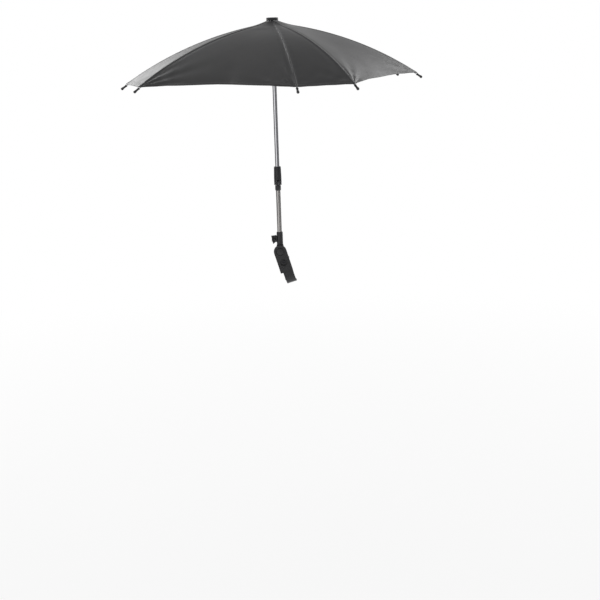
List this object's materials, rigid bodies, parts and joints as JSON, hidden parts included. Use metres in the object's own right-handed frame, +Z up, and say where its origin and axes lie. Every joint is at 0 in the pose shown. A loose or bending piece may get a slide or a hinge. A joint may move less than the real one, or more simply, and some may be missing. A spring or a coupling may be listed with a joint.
{
  "type": "stroller parasol",
  "caption": "Folding parasol on a chromed shaft with a knuckle joint, held to a stroller bar by a hinged clamp with a screw knob and a tilting rod socket.",
  "frame": {"origin": "centre of the stroller's bar where the clamp grips it", "axes": "+Z up along the shaft, -Y towards the front of the clamp, +X to the right seen from the front"},
  "size_m": [0.7127, 0.7128, 0.6391],
  "materials": {
    "black_plastic": "moulded black plastic, satin",
    "soft_black": "moulded black plastic, matt",
    "grip_rubber": "matt black rubber",
    "bright_chrome": "bright chrome",
    "satin_chrome": "satin chrome",
    "plated_steel": "plated steel",
    "cover_cloth": "dark grey woven polyester"
  },
  "bodies": {
    "clamp_front": {"front_jaw": "black_plastic", "front_pad": "grip_rubber", "jaw_pivot_pin": "plated_steel", "clamp_screw": "plated_steel", "tilt_bolt": "black_plastic", "tilt_nut": "plated_steel"},
    "knob_washer": {"clamp_washer": "plated_steel"},
    "knob": {"clamp_knob": "soft_black"},
    "clamp_rear": {"rear_jaw": "black_plastic", "rear_pad": "grip_rubber"},
    "socket": {"rod_socket": "black_plastic"},
    "wing": {"wing_screw": "soft_black"},
    "lower_rod": {"lower_rod_tube": "satin_chrome", "lower_knuckle": "black_plastic", "knuckle_pin": "plated_steel"},
    "upper_shaft": {"upper_knuckle": "black_plastic", "upper_shaft_tube": "bright_chrome", "crown": "black_plastic", "crown_wire": "plated_steel", "top_cap": "black_plastic", "cap_screw": "plated_steel", "canopy_cover": "cover_cloth"},
    "runner_body": {"runner": "black_plastic", "runner_wire": "plated_steel"},
    "catch": {"runner_catch": "soft_black"},
    "rib_body_1": {"rib_1": "plated_steel", "rib_tip_1": "black_plastic", "rib_rivet_1": "plated_steel"},
    "stretcher_body_1": {"stretcher_1": "plated_steel"},
    "rib_body_2": {"rib_2": "plated_steel", "rib_tip_2": "black_plastic", "rib_rivet_2": "plated_steel"},
    "stretcher_body_2": {"stretcher_2": "plated_steel"},
    "rib_body_3": {"rib_3": "plated_steel", "rib_tip_3": "black_plastic", "rib_rivet_3": "plated_steel"},
    "stretcher_body_3": {"stretcher_3": "plated_steel"},
    "rib_body_4": {"rib_4": "plated_steel", "rib_tip_4": "black_plastic", "rib_rivet_4": "plated_steel"},
    "stretcher_body_4": {"stretcher_4": "plated_steel"},
    "rib_body_5": {"rib_5": "plated_steel", "rib_tip_5": "black_plastic", "rib_rivet_5": "plated_steel"},
    "stretcher_body_5": {"stretcher_5": "plated_steel"},
    "rib_body_6": {"rib_6": "plated_steel", "rib_tip_6": "black_plastic", "rib_rivet_6": "plated_steel"},
    "stretcher_body_6": {"stretcher_6": "plated_steel"},
    "rib_body_7": {"rib_7": "plated_steel", "rib_tip_7": "black_plastic", "rib_rivet_7": "plated_steel"},
    "stretcher_body_7": {"stretcher_7": "plated_steel"},
    "rib_body_8": {"rib_8": "plated_steel", "rib_tip_8": "black_plastic", "rib_rivet_8": "plated_steel"},
    "stretcher_body_8": {"stretcher_8": "plated_steel"}
  },
  "joints": [
    {"name": "socket_tilt", "type": "hinge", "parent": "clamp_front", "child": "socket", "pos_m": [-0.01818, 0, 0.06136], "axis": [0, 1, 0], "range_deg": [-106.5, 73.5]},
    {"name": "wing_screw_turn", "type": "hinge", "parent": "socket", "child": "wing", "pos_m": [-0.01818, 0, 0.08986], "axis": [-1, 0, 0], "range_deg": [-180, 180]},
    {"name": "rod_turn", "type": "hinge", "parent": "socket", "child": "lower_rod", "pos_m": [-0.01818, 0, 0.10836], "axis": [0, 0, 1], "range_deg": [-180, 180]},
    {"name": "knuckle_tilt", "type": "hinge", "parent": "lower_rod", "child": "upper_shaft", "pos_m": [-0.01818, 0, 0.22936], "axis": [1, 0, 0], "range_deg": [-45, 45]},
    {"name": "runner_slide", "type": "slide", "parent": "upper_shaft", "child": "runner_body", "axis": [0, 0, -1], "range_m": [0, 0.197], "deforming": ["canopy_cover"]},
    {"name": "catch_press", "type": "hinge", "parent": "runner_body", "child": "catch", "pos_m": [-0.01168, 0, 0.49836], "axis": [0, 1, 0], "range_deg": [0, 6], "stiffness_Nm_per_rad": 0.05},
    {"name": "knob_turn", "type": "hinge", "parent": "knob_washer", "child": "knob", "pos_m": [-0.01022, 0.0163, 0.03452], "axis": [0, 1, 0], "range_deg": [0, 1590.7]},
    {"name": "washer_slide", "type": "slide", "parent": "clamp_front", "child": "knob_washer", "axis": [0, 1, 0], "range_m": [0, 0.00884]},
    {"name": "rear_jaw_swing", "type": "hinge", "parent": "clamp_front", "child": "clamp_rear", "pos_m": [-0.01264, 0.008, 0.04267], "axis": [0.9588, 0, 0.284], "range_deg": [0, 28]},
    {"name": "rib_1_fold", "type": "hinge", "parent": "upper_shaft", "child": "rib_body_1", "pos_m": [-0.01652, -0.01037, 0.60136], "axis": [0.9874, 0.1582, 0], "range_deg": [0, 66.98]},
    {"name": "stretcher_1_fold", "type": "hinge", "parent": "rib_body_1", "child": "stretcher_body_1", "pos_m": [0.00503, -0.1449, 0.5702], "axis": [-0.9874, -0.1582, 0], "range_deg": [0, 125.75]},
    {"name": "rib_2_fold", "type": "hinge", "parent": "upper_shaft", "child": "rib_body_2", "pos_m": [-0.01278, -0.00901, 0.60136], "axis": [0.8581, 0.5135, 0], "range_deg": [0, 66.98]},
    {"name": "stretcher_2_fold", "type": "hinge", "parent": "rib_body_2", "child": "stretcher_body_2", "pos_m": [0.05718, -0.12592, 0.5702], "axis": [-0.8581, -0.5135, 0], "range_deg": [0, 125.75]},
    {"name": "rib_3_fold", "type": "hinge", "parent": "upper_shaft", "child": "rib_body_3", "pos_m": [-0.00781, 0.00166, 0.60136], "axis": [-0.1582, 0.9874, 0], "range_deg": [0, 66.98]},
    {"name": "stretcher_3_fold", "type": "hinge", "parent": "rib_body_3", "child": "stretcher_body_3", "pos_m": [0.12672, 0.02321, 0.5702], "axis": [0.1582, -0.9874, 0], "range_deg": [0, 125.75]},
    {"name": "rib_4_fold", "type": "hinge", "parent": "upper_shaft", "child": "rib_body_4", "pos_m": [-0.00917, 0.00539, 0.60136], "axis": [-0.5135, 0.8581, 0], "range_deg": [0, 66.98]},
    {"name": "stretcher_4_fold", "type": "hinge", "parent": "rib_body_4", "child": "stretcher_body_4", "pos_m": [0.10774, 0.07536, 0.5702], "axis": [0.5135, -0.8581, 0], "range_deg": [0, 125.75]},
    {"name": "rib_5_fold", "type": "hinge", "parent": "upper_shaft", "child": "rib_body_5", "pos_m": [-0.01984, 0.01037, 0.60136], "axis": [-0.9874, -0.1582, 0], "range_deg": [0, 66.98]},
    {"name": "stretcher_5_fold", "type": "hinge", "parent": "rib_body_5", "child": "stretcher_body_5", "pos_m": [-0.04139, 0.1449, 0.5702], "axis": [0.9874, 0.1582, 0], "range_deg": [0, 125.75]},
    {"name": "rib_6_fold", "type": "hinge", "parent": "upper_shaft", "child": "rib_body_6", "pos_m": [-0.02357, 0.00901, 0.60136], "axis": [-0.8581, -0.5135, 0], "range_deg": [0, 66.98]},
    {"name": "stretcher_6_fold", "type": "hinge", "parent": "rib_body_6", "child": "stretcher_body_6", "pos_m": [-0.09354, 0.12592, 0.5702], "axis": [0.8581, 0.5135, 0], "range_deg": [0, 125.75]},
    {"name": "rib_7_fold", "type": "hinge", "parent": "upper_shaft", "child": "rib_body_7", "pos_m": [-0.02855, -0.00166, 0.60136], "axis": [0.1582, -0.9874, 0], "range_deg": [0, 66.98]},
    {"name": "stretcher_7_fold", "type": "hinge", "parent": "rib_body_7", "child": "stretcher_body_7", "pos_m": [-0.16308, -0.02321, 0.5702], "axis": [-0.1582, 0.9874, 0], "range_deg": [0, 125.75]},
    {"name": "rib_8_fold", "type": "hinge", "parent": "upper_shaft", "child": "rib_body_8", "pos_m": [-0.02719, -0.00539, 0.60136], "axis": [0.5135, -0.8581, 0], "range_deg": [0, 66.98]},
    {"name": "stretcher_8_fold", "type": "hinge", "parent": "rib_body_8", "child": "stretcher_body_8", "pos_m": [-0.1441, -0.07536, 0.5702], "axis": [-0.5135, 0.8581, 0], "range_deg": [0, 125.75]}
  ],
  "couplings": [
    {"joint": "washer_slide", "follows": "rear_jaw_swing", "m_per_rad": 0.018089},
    {"joint": "knob_turn", "follows": "rear_jaw_swing", "ratio": 56.811},
    {"joint": "rib_1_fold", "follows": "runner_slide", "rad_per_m": 5.9342},
    {"joint": "stretcher_1_fold", "follows": "runner_slide", "rad_per_m": 11.141},
    {"joint": "rib_2_fold", "follows": "runner_slide", "rad_per_m": 5.9342},
    {"joint": "stretcher_2_fold", "follows": "runner_slide", "rad_per_m": 11.141},
    {"joint": "rib_3_fold", "follows": "runner_slide", "rad_per_m": 5.9342},
    {"joint": "stretcher_3_fold", "follows": "runner_slide", "rad_per_m": 11.141},
    {"joint": "rib_4_fold", "follows": "runner_slide", "rad_per_m": 5.9342},
    {"joint": "stretcher_4_fold", "follows": "runner_slide", "rad_per_m": 11.141},
    {"joint": "rib_5_fold", "follows": "runner_slide", "rad_per_m": 5.9342},
    {"joint": "stretcher_5_fold", "follows": "runner_slide", "rad_per_m": 11.141},
    {"joint": "rib_6_fold", "follows": "runner_slide", "rad_per_m": 5.9342},
    {"joint": "stretcher_6_fold", "follows": "runner_slide", "rad_per_m": 11.141},
    {"joint": "rib_7_fold", "follows": "runner_slide", "rad_per_m": 5.9342},
    {"joint": "stretcher_7_fold", "follows": "runner_slide", "rad_per_m": 11.141},
    {"joint": "rib_8_fold", "follows": "runner_slide", "rad_per_m": 5.9342},
    {"joint": "stretcher_8_fold", "follows": "runner_slide", "rad_per_m": 11.141}
  ]
}
